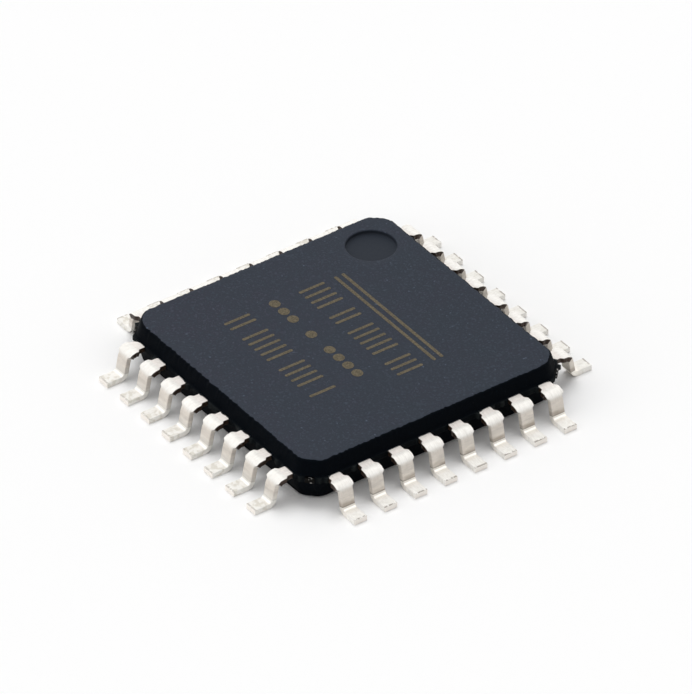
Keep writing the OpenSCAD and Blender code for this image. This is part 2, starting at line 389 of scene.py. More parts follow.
def recess_rings(hole, face_level, outline, rounding, spread):
    """Rings of a recess and of the flat face round it, from the middle out to the outline.

    Each column lies on the straight line from the middle of the recess to a point of the outline:
    inside the recess its distance is a radius of the profile, and on the flat face it is a share of
    the way from the last radius to the outline.
    """
    profile = recess_profile(hole, face_level, rounding)
    away = outline - hole["centre"]
    distance = np.linalg.norm(away, axis=1)
    ray = away / distance[:, None]
    round_part = hole["centre"] + profile[:, 0][:, None, None] * ray
    rim = profile[-1, 0]
    reach = rim + spread[:, None] * (distance - rim)
    flat_part = hole["centre"] + reach[:, :, None] * ray
    flat = np.concatenate([round_part, flat_part])
    heights = np.concatenate([profile[:, 1], np.full(len(spread), face_level)])
    level = np.broadcast_to(heights[:, None, None], flat.shape[:2] + (1,))
    return np.concatenate([flat, level], 2), len(profile)


def lead_scraps(points):
    """How far scraps of resin run out at each point of the rim, from nothing to one.

    Each side of each lead has a random scrap: a bell curve of the distance past the lead's side.
    Each corner has four more, beside its cut tie bar.
    """
    peak, reach = 0.035, 0.03               # of a bell curve, in millimetres
    side_zone, corner_zone = 0.9, 0.97      # shares of the way out past which a point counts
    leads = [lead_measures(name) for name in lead_names()]
    sizes = np.random.default_rng(21).uniform(0, 1, (len(leads), 2)) ** 3
    scraps = np.zeros(len(points))
    for lead, pair in zip(leads, sizes):
        beside = points @ lead["sideways"] - lead["root_side"]
        same_side = points @ lead["outward"] > side_zone * np.abs(points).max()
        for sign, size in zip((-1, 1), pair):
            past = sign * beside - lead["width"] / 2
            scraps += same_side * size * np.exp(-((past / MM - peak) / reach) ** 2)
    places = np.array([-0.36, -0.2, 0.21, 0.38]) * MM
    for corner, signs in enumerate(((1, 1), (1, -1), (-1, 1), (-1, -1))):
        towards = np.array(signs) / np.sqrt(2)
        beside = points @ np.array([-towards[1], towards[0]])
        same_corner = points @ towards > corner_zone * (points @ towards).max()
        for place, size in zip(places, np.random.default_rng(31 + corner).uniform(0.2, 1, 4)):
            scraps += same_corner * 0.8 * size * np.exp(-((beside - place) / (reach * MM)) ** 2)
    return np.clip(scraps, 0, 1)


def worn_outline(outline, direction, on_bead, top_end, settings):
    """The outline with resin squeezed out along the rim and ragged grain round the top edge.

    It moves along the outward directions: on the rim by thin flash and by the scraps beside the
    leads, and round the top edge by noise that fades out down the wall. The shares of flash and
    of scraps round the rim are returned with it.
    """
    walk = np.concatenate([[0], np.cumsum(np.linalg.norm(np.diff(outline[0], axis=0), axis=1))])
    span = walk[-1] + np.linalg.norm(outline[0, -1] - outline[0, 0])
    thin = np.clip(wobble(walk, 0.12 * MM, 11, span), 0, 1)
    squeezed = thin * np.clip(wobble(walk, 0.5 * MM, 12, span) + 0.5, 0, 1)
    scraps = lead_scraps(outline[len(outline) // 2])
    squeeze = settings.flash_depth * squeezed + settings.flash_reach * scraps
    ragged = (wobble(walk, 0.05 * MM, 13, span) + 0.5 * wobble(walk, 0.11 * MM, 14, span)) / 3 - 0.5
    fading_rings, fading = [0, 4, top_end + 2], [1, 0.8, 0]
    worn = np.interp(np.arange(len(outline)), fading_rings, fading)
    shift = on_bead[:, None] * squeeze + settings.edge_wear * worn[:, None] * ragged
    return outline + shift[:, :, None] * direction, squeezed, scraps


class CHIP_OT_moulded_body(bpy.types.Operator):
    """Make the moulded body: a lofted octagon with drafted walls, a rim, a dimple and an ejector mark"""

    bl_idname = "chip.moulded_body"
    bl_label = "Moulded body"

    def execute(self, context):
        settings = context.scene.chip_body
        size = body_measures()
        size["top"] -= context.scene.chip_marks.raise_height
        rounding, recess_edge, column_spacing = settings.corner_rounding, settings.recess_rounding, 0.03 * MM
        base, direction = octagon_walk(size["half"], size["corner_half"], rounding, column_spacing)
        profile, top_end, on_bead = body_profile(size, settings)
        outline = base + (rounding + profile[:, 0][:, None, None]) * direction
        outline, squeezed, scraps = worn_outline(outline, direction, on_bead, top_end, settings)
        level = np.broadcast_to(profile[:, 1][:, None, None], outline.shape[:2] + (1,))
        wall = np.concatenate([outline, level], 2)
        face_steps, crowding, clearance = 14, 1.3, 1.3 * settings.edge_wear
        spread = np.linspace(0, 1, face_steps)[1:-1] ** crowding
        # a smooth ring lies inside the ragged edge, so the rings of the top face do not fold
        smooth = base + (rounding + profile[0, 0] - clearance) * direction
        top, recess_end = recess_rings(
            size["dimple"], size["top"], smooth, recess_edge, np.append(spread, 1.0))
        low, _ = recess_rings(size["ejector"], size["bottom"], outline[-1], recess_edge, spread)
        rings = np.concatenate([top, wall, low[::-1]])
        poles = [[*size[hole]["centre"], size[hole]["level"]] for hole in ("dimple", "ejector")]
        wall_start, wall_end = len(top), len(top) + len(wall)
        # the last rings of the dimple's edge and the first of the top edge look like the top face
        lip_rings, matte_edge_rings = 4, top_end - 7
        hollow, flash = np.zeros(rings.shape[:2]), np.zeros(rings.shape[:2])
        hollow[:recess_end - lip_rings] = 1
        flash[wall_start:wall_end] = on_bead[:, None] * (np.clip(0.1 + 0.8 * squeezed, 0, 1) + scraps)
        materials = np.zeros(len(rings), int)
        materials[wall_start + matte_edge_rings:wall_end] = 1
        piece = closed_mesh("moulded_body", rings, poles, {"hollow": hollow, "flash": flash}, materials)
        # the wall copy of the compound is far darker than the top copy: painted shade on the walls and the
        # rim
        for name, tint, gloss in (("matte_compound", settings.top_colour, 0.15),
                                  ("wall_compound", settings.shaded_side_colour, 0.03)):
            piece.data.materials.append(compound_material(name, settings, tint, gloss))
        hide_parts("mould_body")
        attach(piece, "root")
        return {"FINISHED"}


# ---------------------------------------------------------------- leads

def section_walk(samples):
    """A walk round a rectangle with rounded corners, as four arrays of factors.

    A point lies sideways at side * (half width - r) + r * side_turn, and upwards at
    rise * (half thickness - r) + r * rise_turn. On a straight side only side or rise changes, and
    at a corner only the two turns change.
    """
    side, rise, side_turn, rise_turn = [], [], [], []
    turn_steps = 4
    signs = [(1, 1), (-1, 1), (-1, -1), (1, -1)]
    for k, (side_sign, rise_sign) in enumerate(signs):
        angles = k * np.pi / 2 + np.linspace(0, np.pi / 2, turn_steps)
        side += [side_sign] * turn_steps
        rise += [rise_sign] * turn_steps
        side_turn += list(np.cos(angles))
        rise_turn += list(np.sin(angles))
        next_side, next_rise = signs[(k + 1) % 4]
        steps = samples[k % 2]
        along = np.linspace(0, 1, steps + 2)[1:-1]
        side += list(side_sign + (next_side - side_sign) * along)
        rise += list(rise_sign + (next_rise - rise_sign) * along)
        last = angles[-1]
        side_turn += [np.cos(last)] * steps
        rise_turn += [np.sin(last)] * steps
    return [np.array(values) for values in (side, rise, side_turn, rise_turn)]


def strip_path(run, lead, body_half, settings):
    """Place and downward pitch of the middle of the strip at each distance run from the body.

    It goes out level, round the shoulder, straight down the leg, round the heel and level along
    the foot. In a bend the place is the bend's centre plus its radius times the direction at the
    turn reached so far; on a straight stretch it moves on along the last direction.
    """
    half = lead["thickness"] / 2
    full = np.pi / 2 - settings.leg_lean
    shoulder = settings.shoulder_radius + half
    heel = settings.heel_radius + half
    bend = np.array([body_half + settings.shoulder_length, lead["top"] - half])
    leg_top = bend + shoulder * np.array([np.sin(full), np.cos(full) - 1])
    heel_drop = heel * (1 - np.cos(full))
    leg = (leg_top[1] - half - heel_drop) / np.sin(full)
    leg_end = leg_top + leg * np.array([np.cos(full), -np.sin(full)])
    foot = leg_end[0] + heel * np.sin(full)
    ends = np.cumsum([settings.shoulder_length, shoulder * full, leg, heel * full])
    pitch = np.interp(run, ends, [0, full, full, 0])
    flat = np.stack([body_half + run, np.full_like(run, lead["top"] - half)], 1)
    over = np.stack([bend[0] + shoulder * np.sin(pitch),
                     bend[1] - shoulder * (1 - np.cos(pitch))], 1)
    down = leg_top + (run - ends[1])[:, None] * np.array([np.cos(full), -np.sin(full)])
    under = np.stack([foot - heel * np.sin(pitch), half + heel * (1 - np.cos(pitch))], 1)
    along = np.stack([foot + run - ends[3], np.full_like(run, half)], 1)
    stretch = np.searchsorted(ends, run)
    place = np.choose(stretch[:, None], [flat, over, down, under, along])
    return place, pitch, ends, foot


def stub_steps(lead, settings):
    """Distances at which the stubs start to widen, are wide, start to fade and have faded."""
    middle = settings.shoulder_radius + lead["thickness"] / 2
    stub_end = settings.shoulder_length + middle * settings.stub_turn
    slant, fade = settings.stub_slant / 2, settings.stub_fade / 2
    return [settings.stub_start - slant, settings.stub_start + slant, stub_end - fade, stub_end + fade]


def lead_stations(lead, body_half, stub, settings):
    """Distances along the strip of its rings of points up to the toe's edge, and of the toe."""
    inner = lead["tip"] - body_half
    _, _, ends, foot = strip_path(np.zeros(1), lead, body_half, settings)
    toe_run = ends[3] + lead["toe"] - foot
    # where each stretch starts, and how many rings it has with both of its ends
    starts, counts = zip(
        (inner, 3), (inner + settings.tip_length, 5), (-settings.root_length, 10),
        (stub[0], 9), (stub[1], 5), (settings.shoulder_length, 12), (stub[2], 7), (stub[3], 5),
        (ends[1], 16), (ends[2], 14), (ends[3], 16))
    last = toe_run - settings.edge_rounding
    stretches = [np.linspace(start, stop, count)[:-1]
                 for start, stop, count in zip(starts, (*starts[1:], last), counts)]
    return np.append(np.concatenate(stretches), last), toe_run


def toe_cap(toe_run, radius):
    """Distances, insets and shares of size of the toe's rings: a rounded edge, then a closing face."""
    turn = quarter(4)
    run = np.append(toe_run - radius + radius * np.sin(turn), [toe_run, toe_run])
    inset = np.append(radius * (1 - np.cos(turn)), [radius, radius])
    return run, inset, np.append(np.ones(len(turn)), [0.66, 0.33])


def lead_piece(number, node, body_half, settings, material):
    """One lead: a rounded rectangle carried along the bent strip, closed at its tip and its toe."""
    lead = lead_measures(node)
    steps = stub_steps(lead, settings)
    stations, toe_run = lead_stations(lead, body_half, steps, settings)
    side, rise, side_turn, rise_turn = section_walk((9, 3))
    cap_radius = settings.edge_rounding / 2
    cap_run, cap_inset, cap_share = toe_cap(toe_run, cap_radius)
    run = np.append(stations, cap_run)
    inset = np.append(np.zeros(len(stations)), cap_inset)
    shrink = np.append(np.ones(len(stations)), cap_share)
    place, pitch, _, _ = strip_path(run, lead, body_half, settings)
    fan_run = [lead["tip"] - body_half + settings.tip_length, -settings.root_length]
    centre = np.interp(run, fan_run, [lead["tip_side"], lead["root_side"]])
    width = np.interp(run, fan_run, [lead["tip_width"], lead["width"]])
    # share of the stubs' extra width: a smooth step up and a smooth step down
    reached = np.interp(run, steps, [0, 1, 1, 0])
    stub = reached ** 2 * (3 - 2 * reached)
    # the cut sides of the stubs are uneven, along the strip and round its section
    ragged_run = wobble(run, 0.03 * MM, 100 + number) * 0.006 * MM
    ragged_side = wobble(np.arange(len(side)) * 1.0, 2.0, 200 + number, float(len(side)))
    ragged = ragged_run[:, None] + 0.004 * MM * ragged_side
    width = width + stub * (settings.stub_width - lead["width"])
    half_width = width[:, None] / 2 - inset[:, None]
    half_thick = lead["thickness"] / 2 - inset[:, None]
    # the lower edges are sharper than the upper ones
    corner = np.where(rise > 0, settings.edge_rounding, settings.edge_rounding * 0.6)
    corner = np.minimum(corner, half_thick * 0.9)
    sideways = (side * (half_width - corner) + corner * side_turn) * shrink[:, None]
    upwards = (rise * (half_thick - corner) + corner * rise_turn) * shrink[:, None]
    edge = np.clip((np.abs(sideways) / half_width - 0.9) / 0.1, 0, 1)
    sideways = sideways + np.sign(sideways) * edge * stub[:, None] * ragged
    out = place[:, 0][:, None] + upwards * np.sin(pitch)[:, None]
    height = place[:, 1][:, None] + upwards * np.cos(pitch)[:, None]
    across = centre[:, None] + sideways
    flat = out[:, :, None] * lead["outward"] + across[:, :, None] * lead["sideways"]
    rings = np.concatenate([flat, height[:, :, None]], 2)
    poles = [rings[0].mean(0), rings[-1].mean(0)]
    flank = np.clip((np.abs(sideways) / half_width - 0.93) / 0.05, 0, 1) * (np.abs(rise_turn) < 0.75)
    sheared = np.where(run > toe_run - cap_radius / 2, 1.0, 0.0)
    east, north = lead["outward"]
    luck = wobble(np.array([number * 1.0]), 1.0, 300, 32.0)[0]
    every = np.ones(rings.shape[:2])
    attributes = {
        "run": run[:, None] * every / MM,
        "across": sideways / MM,
        # dark on the flanks up to the end of the stubs: bare metal on the cut stubs, painted shade on the
        # necks' sides
        "cut": flank * np.interp(run, steps[2:], [1, 0])[:, None],
        "sheared": sheared[:, None] * every,
        "pin": number * every,
        # set mostly by the side of the package: painted shade on the +X and +Y sides, painted light on the
        # -X and -Y sides, with a little random difference from lead to lead
        "stain": (0.5 + 0.4 * east + 0.3 * north + 0.1 * luck) * every,
    }
    piece = closed_mesh(f"tinned_lead_{number:02d}", rings, poles, attributes)
    piece.data.materials.append(material)
    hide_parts(node)
    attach(piece, "root")


class CHIP_OT_gull_wing_leads(bpy.types.Operator):
    """Make the leads: each one a tinned strip bent like a gull's wing, with its inner finger"""

    bl_idname = "chip.gull_wing_leads"
    bl_label = "Gull-wing leads"

    def execute(self, context):
        settings = context.scene.chip_leads
        body_half = body_measures()["half"]
        material = tin_material(settings)
        for number, node in enumerate(lead_names(), 1):
            lead_piece(number, node, body_half, settings, material)
        return {"FINISHED"}


# ---------------------------------------------------------------- laser marks

def stroke_shell(start, end, width, low, high):
    """One laser stroke: a flat closed plate with round ends between two heights.

    Its outline is a half circle round the end, a half circle round the start and the straight
    sides between them, with a fine scallop that each laser spot leaves.
    """
    start, end = np.asarray(start, float), np.asarray(end, float)
    heading = np.arctan2(*(end - start)[::-1])
    turn = np.linspace(-np.pi / 2, np.pi / 2, 7)
    length = np.linalg.norm(end - start)
    spots = max(2, int(length / (width * 0.8)))
    along = np.linspace(0, 1, 2 * spots + 1)[1:-1]
    scallop = 1 - 0.14 * (np.arange(len(along)) % 2 == 0)
    ahead = np.array([np.cos(heading), np.sin(heading)])
    left = np.array([-ahead[1], ahead[0]])
    half = width / 2
    outline = []
    for sign, near_end, far_end in ((1, end, start), (-1, start, end)):
        reach = sign * half
        outline.append(near_end + reach * (np.cos(turn)[:, None] * ahead + np.sin(turn)[:, None] * left))
        outline.append(near_end + (far_end - near_end) * along[:, None] + reach * scallop[:, None] * left)
    outline = np.vstack(outline)
    count = len(outline)
    points = np.vstack([np.column_stack([outline, np.full(count, low)]),
                        np.column_stack([outline, np.full(count, high)])])
    here = np.arange(count)
    after = (here + 1) % count
    walls = np.stack([here, after, count + after, count + here], -1).tolist()
    caps = [list(range(count - 1, -1, -1)), list(range(count, 2 * count))]
    return points, walls + caps


class CHIP_OT_laser_marks(bpy.types.Operator):
    """Make the plain laser marks: two rules, two rows of upright strokes and a row of dots"""

    bl_idname = "chip.laser_marks"
    bl_label = "Laser marks"

    def execute(self, context):
        settings = context.scene.chip_marks
        high = body_measures()["top"]
        low = high - 0.01 * MM
        wide, tall, step, left = settings.stroke, settings.height, settings.spacing, settings.left
        shells = []

        def upright(place, foot):
            shells.append(stroke_shell((place, foot), (place, foot + tall), wide, low, high))

        def dot(place, foot):
            middle = (place, foot + tall / 2)
            shells.append(stroke_shell(middle, (place + 0.1 * step, middle[1]), 1.1 * step, low, high))

        # height of the row's foot, what it holds, steps from one to the next, sizes of its groups
        rows = ((0.15, upright, 1, (4, 2, 5, 3)),
                (-0.85, dot, 1.5, (3, 1, 4)),
                (-1.85, upright, 1, (2, 5, 4, 1)))
        for foot, draw, pitch, groups in rows:
            places = left + pitch * step * np.concatenate([
                sum(groups[:k]) + k + np.arange(count) for k, count in enumerate(groups)])
            for place in places:
                draw(place, foot * MM)
        rule_levels, rule_steps = (1.1, 1.3), 16
        for level in rule_levels:
            ends = (left, level * MM), (left + rule_steps * step, level * MM)
            shells.append(stroke_shell(*ends, wide, low, high))
        piece = joined_mesh("laser_marks", shells)
        piece.data.materials.append(mark_material(settings))
        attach(piece, "root")
        return {"FINISHED"}


# ---------------------------------------------------------------- materials

class Nodes:
    """A node tree in the making, with short ways to add nodes."""

    def __init__(self, tree):
        self.tree = tree

    def add(self, kind, inputs=None, **settings):
        """Adds one node; an input may be a number or the output of another node."""
        node = self.tree.nodes.new("ShaderNode" + kind)
        for key, value in settings.items():
            setattr(node, key, value)
        self.feed(node, inputs or {})
        return node

    def feed(self, node, inputs):
        """Sets or links the inputs of a node."""
        for key, value in inputs.items():
            if isinstance(value, bpy.types.NodeSocket):
                self.tree.links.new(value, node.inputs[key])
            else:
                node.inputs[key].default_value = value

    def math(self, operation, first, second=0.0):
        """One number worked out from one or two others."""
        return self.add("Math", {0: first, 1: second}, operation=operation).outputs[0]

    def product(self, first, *others):
        """Numbers multiplied together."""
        for other in others:
            first = self.math("MULTIPLY", first, other)
        return first

    def spread(self, value, low, high, to_low=0.0, to_high=1.0, **settings):
        """Maps a range of values to another one and stops at its ends."""
        return self.add("MapRange", {"Value": value, "From Min": low, "From Max": high,
                                     "To Min": to_low, "To Max": to_high}, **settings).outputs[0]

    def parts(self, vector):
        """X, Y and Z of a vector."""
        return self.add("SeparateXYZ", {"Vector": vector}).outputs


class Shader(Nodes):
    """A material in the making, round its Principled shader."""

    def __init__(self, name):
        self.material = bpy.data.materials.new(name)
        self.material.use_nodes = True
        super().__init__(self.material.node_tree)
        self.surface = self.tree.nodes["Principled BSDF"]

    def scaled(self, vector, scale):
        """A vector with each part multiplied by its own number."""
        return self.add("Mapping", {"Vector": vector, "Scale": scale}).outputs[0]

    def place(self):
        """Object coordinates turned into millimetres."""
        return self.scaled(self.add("TexCoord").outputs["Object"], (1 / MM, 1 / MM, 1 / MM))

    def noise(self, vector, scale, detail=3.0, roughness=0.6):
        """Cloudy noise from nothing to one, with its scale in features per millimetre."""
        return self.add("TexNoise", {"Vector": vector, "Scale": scale, "Detail": detail,
                                     "Roughness": roughness}).outputs["Fac"]

    def blend(self, share_of_second, first, second):
        """Mixes two colours."""
        first, second = (tint if isinstance(tint, bpy.types.NodeSocket) else (*tint[:3], 1)
                         for tint in (first, second))
        return self.add("Mix", {0: share_of_second, 6: first, 7: second}, data_type="RGBA").outputs[2]

    def tones(self, value, low, high, first, second):
        """A colour that goes from the first to the second while the value goes from low to high."""
        return self.blend(self.spread(value, low, high), first, second)

    def layered(self, colour_below, *layers):
        """A colour with layers over it, each a share that it covers and its colour."""
        for cover, tint in layers:
            colour_below = self.blend(cover, colour_below, tint)
        return colour_below

    def ramp(self, value, stops):
        """A colour or a level for each value, from stops that start at nothing and rise."""
        reach = RAMP_REACH
        node = self.add("ValToRGB", {"Fac": self.spread(value, 0.0, reach)})
        elements = node.color_ramp.elements
        while len(elements) < len(stops):
            elements.new(0.5)
        for element, (distance, level) in zip(elements, stops):
            element.position = distance / reach
            element.color = (*np.clip(level, 0, 1) * np.ones(3), 1)
        return node.outputs[0]

    def attribute(self, key):
        """A number stored on the mesh."""
        return self.add("Attribute", attribute_name=key).outputs["Fac"]

    def bump(self, height, distance, strength=1.0, after=None):
        """A bump whose distance is in metres."""
        inputs = {"Height": height, "Distance": distance, "Strength": strength}
        if after is not None:
            inputs["Normal"] = after
        return self.add("Bump", inputs).outputs[0]


def compound_material(name, settings, base, gloss):
    """Moulding compound: fine spark-eroded grain, soft clouds of colour, a few filler specks, and painted
    light that is lighter towards -X and -Y and darker towards +X and +Y.

    The dimple is darker. Where resin was squeezed out, the flash attribute goes from 0 on plain
    compound over 1 on thin flash to 2 on the palest scraps.
    """
    shader = Shader(name)
    place = shader.place()
    spread = shader.spread
    grain = shader.noise(place, 13.0, 2.0, 0.6)
    clouds = shader.noise(place, 1.3, 4.0, 0.6)
    specks = shader.noise(place, 14.0, 0.0, 0.5)
    flash = shader.attribute("flash")
    base = np.array(base)
    cloudy = shader.tones(clouds, 0.35, 0.65, base * (0.95, 1.02, 1.0), base * (1.10, 0.94, 1.0))
    parts = shader.parts(place)
    # painted light: the compound lighter towards -X and -Y and darker towards +X and +Y
    diagonal = shader.math("ADD", parts[0], parts[1])
    painted_light_falloff = shader.tones(diagonal, -6.0, 5.0, base * (1.28, 1.10, 1.12), base * (0.86, 0.9, 0.9))
    finished = shader.layered(
        shader.blend(0.5, cloudy, painted_light_falloff),
        (spread(grain, 0.30, 0.70), (0, 0, 0)),
        (spread(grain, 0.44, 0.72, 0.0, 0.5), base * 2.0),
        (spread(specks, 0.80, 0.88), base * 1.9),
        (spread(flash, 0, 1), settings.flash_colour),
        (spread(flash, 1.15, 1.7), settings.scrap_colour),
        (shader.attribute("hollow"), base * 0.5))
    shader.feed(shader.surface, {
        "Base Color": finished, "Roughness": settings.roughness,
        "Specular IOR Level": gloss, "Normal": shader.bump(grain, 0.006 * MM, 0.6)})
    return shader.material


def tin_material(settings):
    """Matte tin over the bent strip, from the dull neck by the body to the sheared toe.

    The base colour follows the distance along the strip: the leg is darker than the tin, partly from
    the bending tool and partly painted shade, the bend above the heel has painted shade, and the heel
    and foot are lighter than the tin, a painted highlight. Streaks run along it, but on the leg
    wrinkles and bands lie across it, and faint mottles lie everywhere. The stain value
    comes mostly from the side of the package that a lead is on. Where it is high, the lead has painted
    shade as a brown low leg, a dark crease and a heavier dark line on its toe, a warm heel, and fewer
    patches on its foot, painted light on feet in the body's shade; where it is low, the low leg is
    lighter, painted light, and the foot has more patches. The sides of the dam bar cuts and of the
    necks are dark: bare cut metal on the stubs, darkened further as painted shade, and painted shade on
    the necks. The face of the toe is cream. A second ramp says how metallic the tin looks, most of all
    on the heel.
    """
    shader = Shader("matte_tin")
    spread, product, noise = shader.spread, shader.product, shader.noise
    run, across, pin, stain = (shader.attribute(key) for key in ("run", "across", "pin", "stain"))
    strip = shader.add("CombineXYZ", {"X": across, "Y": run, "Z": pin}).outputs[0]
    place = shader.place()
    pin_step = 7.3          # moves each lead to its own part of the noise
    streaks = noise(shader.scaled(strip, (80.0, 7.0, pin_step)), 1.0, 2.0, 0.5)
    wrinkles = noise(shader.scaled(strip, (5.0, 22.0, pin_step)), 1.0, 3.0, 0.6)
    bands = noise(shader.scaled(strip, (2.2, 7.0, pin_step)), 1.0, 2.0, 0.55)
    grain = noise(place, 40.0, 2.0, 0.5)
    mottles = noise(place, 13.0, 3.0, 0.65)
    blots = noise(place, 8.0, 2.0, 0.5)
    tin, neck, leg, crease = (np.array(tint) for tint in (
        settings.tin_colour, settings.neck_colour, settings.leg_wear_and_shade_colour, settings.crease_shade_colour))
    # colour along the strip: the leg darker than the tin, partly tool wear and partly painted shade; a
    # darker dip above the heel, painted shade; the heel and foot lighter than the tin, a painted highlight
    plain = shader.ramp(run, [
        (0.0, neck), (0.13, neck), (0.165, neck * 0.95), (0.21, tin * 0.97), (0.34, tin * 0.95),
        (0.40, tin * 0.95), (0.47, leg * 1.06), (0.53, leg * 1.02), (0.61, leg), (0.68, leg * 1.06),
        (0.75, leg), (0.79, leg * 0.97), (0.815, tin * 1.08), (0.96, tin * 1.08), (1.02, tin * 1.06),
        (1.38, tin * 1.04)])
    on_leg = shader.math("SUBTRACT", spread(run, 0.44, 0.52), spread(run, 0.78, 0.81))
    wear = shader.add("Mix", {"Factor": on_leg, 2: streaks, 3: wrinkles}, data_type="FLOAT").outputs[0]
    low_leg = product(spread(run, 0.66, 0.74), spread(run, 0.81, 0.80))
    # painted shade: a brown low leg, broken into bands, on the +X and +Y sides
    low_leg_shade = product(spread(bands, 0.38, 0.60, 0.25, 0.9), product(low_leg, stain))
    # painted light: tin colour back on the low leg on the -X and -Y sides
    low_leg_light = product(spread(run, 0.62, 0.80), spread(stain, 0.2, 0.8, 0.7, 0.0))
    # painted shade: a dark line in the concave bend above the heel, strongest on the +X and +Y sides
    crease_shade_line = product(spread(run, 0.775, 0.792), spread(run, 0.818, 0.805))
    on_heel = product(spread(run, 0.805, 0.82), spread(run, 1.15, 1.0))
    on_foot = spread(run, 0.96, 1.06)
    patches = spread(blots, 0.45, 0.60, 0.0, 0.7)
    facing_up = shader.parts(shader.add("NewGeometry").outputs["Normal"])[2]
    toe_top = product(spread(run, 1.322, 1.345), spread(facing_up, 0.2, 0.5))
    # a darker ragged line along the toe's top edge, heavier on the +X and +Y sides; the heavier side is
    # painted shade
    toe_line = product(toe_top, spread(stain, 0, 1, 0.45, 1.0))
    finished = shader.layered(
        plain,
        (spread(wear, 0.40, 0.68, 0.0, 0.26), leg * 0.55),
        (product(spread(bands, 0.44, 0.62, 0.0, 0.3), on_leg), leg * 0.6),
        (spread(mottles, 0.46, 0.66, 0.0, 0.2), (0.60, 0.55, 0.49)),
        (low_leg_light, tin * 0.96),
        (low_leg_shade, crease * (0.62, 0.60, 0.58)),
        (product(crease_shade_line, stain, 0.8), crease * 0.42),
        (product(on_heel, stain, 0.6), (1.0, 0.93, 0.84)),
        # fewer patches on the +X and +Y sides: painted light on feet that the body shades
        (product(patches, on_foot, spread(stain, 0, 1, 1.0, 0.1)), (0.62, 0.575, 0.48)),
        (product(spread(mottles, 0.42, 0.50, 0.0, 0.9), toe_line), crease * 0.45),
        (product(shader.attribute("sheared"), spread(facing_up, 0.5, 0.2)), (0.96, 0.905, 0.84)),
        # dark flanks: bare cut metal on the stubs, with painted shade there and on the necks
        (shader.attribute("cut"), settings.cut_and_shade_colour))
    pressed = shader.ramp(run, [
        (0.0, 0.1), (0.16, 0.15), (0.27, 0.5), (0.36, 0.5), (0.45, 0.3), (0.79, 0.35), (0.82, 1.0),
        (0.92, 1.0), (0.99, 0.25), (1.06, 0.05)])
    lines = shader.bump(wear, 0.002 * MM, 0.4)
    shader.feed(shader.surface, {
        "Base Color": finished, "Metallic": spread(pressed, 0, 1, 0, settings.metallic),
        "Roughness": settings.roughness, "Normal": shader.bump(grain, 0.003 * MM, 0.6, lines)})
    return shader.material


def mark_material(settings):
    """Laser-marked compound: olive gold, broken up by the grain of the compound."""
    shader = Shader("laser_mark")
    place = shader.place()
    grain = shader.noise(place, 26.0, 3.0, 0.7)
    base = np.array(settings.mark_colour)
    tone = shader.tones(grain, 0.35, 0.65, base * 0.55, base * 1.25)
    shader.feed(shader.surface, {"Base Color": tone, "Roughness": 0.8, "Specular IOR Level": 0.3,
                                 "Normal": shader.bump(grain, 0.004 * MM, 0.6)})
    return shader.material


def gold_material():
    """Drawn gold with fine grain and faint stains."""
    shader = Shader("bond_gold")
    grain = shader.noise(shader.place(), 60.0, 3.0, 0.6)
    base = np.array((0.90, 0.62, 0.22))
    shader.feed(shader.surface, {
        "Base Color": shader.tones(grain, 0.35, 0.7, base * 0.8, base),
        "Metallic": 1.0, "Roughness": 0.25, "Normal": shader.bump(grain, 0.002 * MM, 0.4)})
    return shader.material


def lead_frame_material(corner_half):
    """Lead frame copper, tarnished dark with pale chips where cut tie bars leave the corners.

    The distance towards a corner is the sum of the sizes of X and Y over the root of two.
    """
    shader = Shader("lead_frame_copper")
    place = shader.place()
    grain = shader.noise(place, 30.0, 3.0, 0.6)
    chips = shader.noise(place, 16.0, 2.0, 0.5)
    across = [shader.math("ABSOLUTE", part) for part in shader.parts(place)[:2]]
    towards = shader.math("ADD", *across)
    start = 0.12            # millimetres inside the rim at which the tarnish starts
    edge = (corner_half / MM - start) * np.sqrt(2)
    copper = shader.tones(grain, 0.35, 0.7, (0.38, 0.21, 0.14), (0.48, 0.27, 0.17))
    tarnish = shader.tones(chips, 0.58, 0.68, (0.008, 0.0075, 0.007), (0.46, 0.45, 0.43))
    shader.feed(shader.surface, {
        "Base Color": shader.tones(towards, edge, edge + 0.01, copper, tarnish),
        "Metallic": 1.0, "Roughness": 0.5,
        "Normal": shader.bump(grain, 0.002 * MM, 0.4)})
    return shader.material


def silicon_material():
    """Polished silicon with the faint blocks of its circuits."""
    shader = Shader("patterned_silicon")
    place = shader.place()
    blocks = shader.add("TexBrick", {"Vector": place, "Scale": 6.0, "Color1": (0.10, 0.12, 0.18, 1),
                                     "Color2": (0.16, 0.15, 0.20, 1), "Mortar": (0.05, 0.05, 0.07, 1)})
    shader.feed(shader.surface, {"Base Color": blocks.outputs[0], "Roughness": 0.22,
                                 "Specular IOR Level": 0.7})
    return shader.material


def adhesive_material():
    """Silver-filled adhesive: a light grey paste with flakes."""
    shader = Shader("silver_paste")
    place = shader.place()
    flakes = shader.add("TexVoronoi", {"Vector": place, "Scale": 40.0}).outputs["Distance"]
    tone = shader.tones(flakes, 0.1, 0.6, (0.55, 0.55, 0.53), (0.35, 0.35, 0.34))
    shader.feed(shader.surface, {"Base Color": tone, "Roughness": 0.6,
                                 "Normal": shader.bump(flakes, 0.003 * MM, 0.5)})
    return shader.material


class CHIP_OT_inner_pieces(bpy.types.Operator):
    """Finish the sealed pieces: copper paddle, silver paste, silicon die and gold wires"""

    bl_idname = "chip.inner_pieces"
    bl_label = "Inner pieces"

    def execute(self, context):
        finishes = {
            "die_paddle": lead_frame_material(body_measures()["corner_half"]),
            "die_attach": adhesive_material(),
            "silicon_die": silicon_material(),
        }
        gold = gold_material()
        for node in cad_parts:
            if node.startswith("bond_wires"):
                finishes[node] = gold
        for node, material in finishes.items():
            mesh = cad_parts[node].data
            mesh.materials.clear()
            mesh.materials.append(material)
        return {"FINISHED"}


# ---------------------------------------------------------------- stage

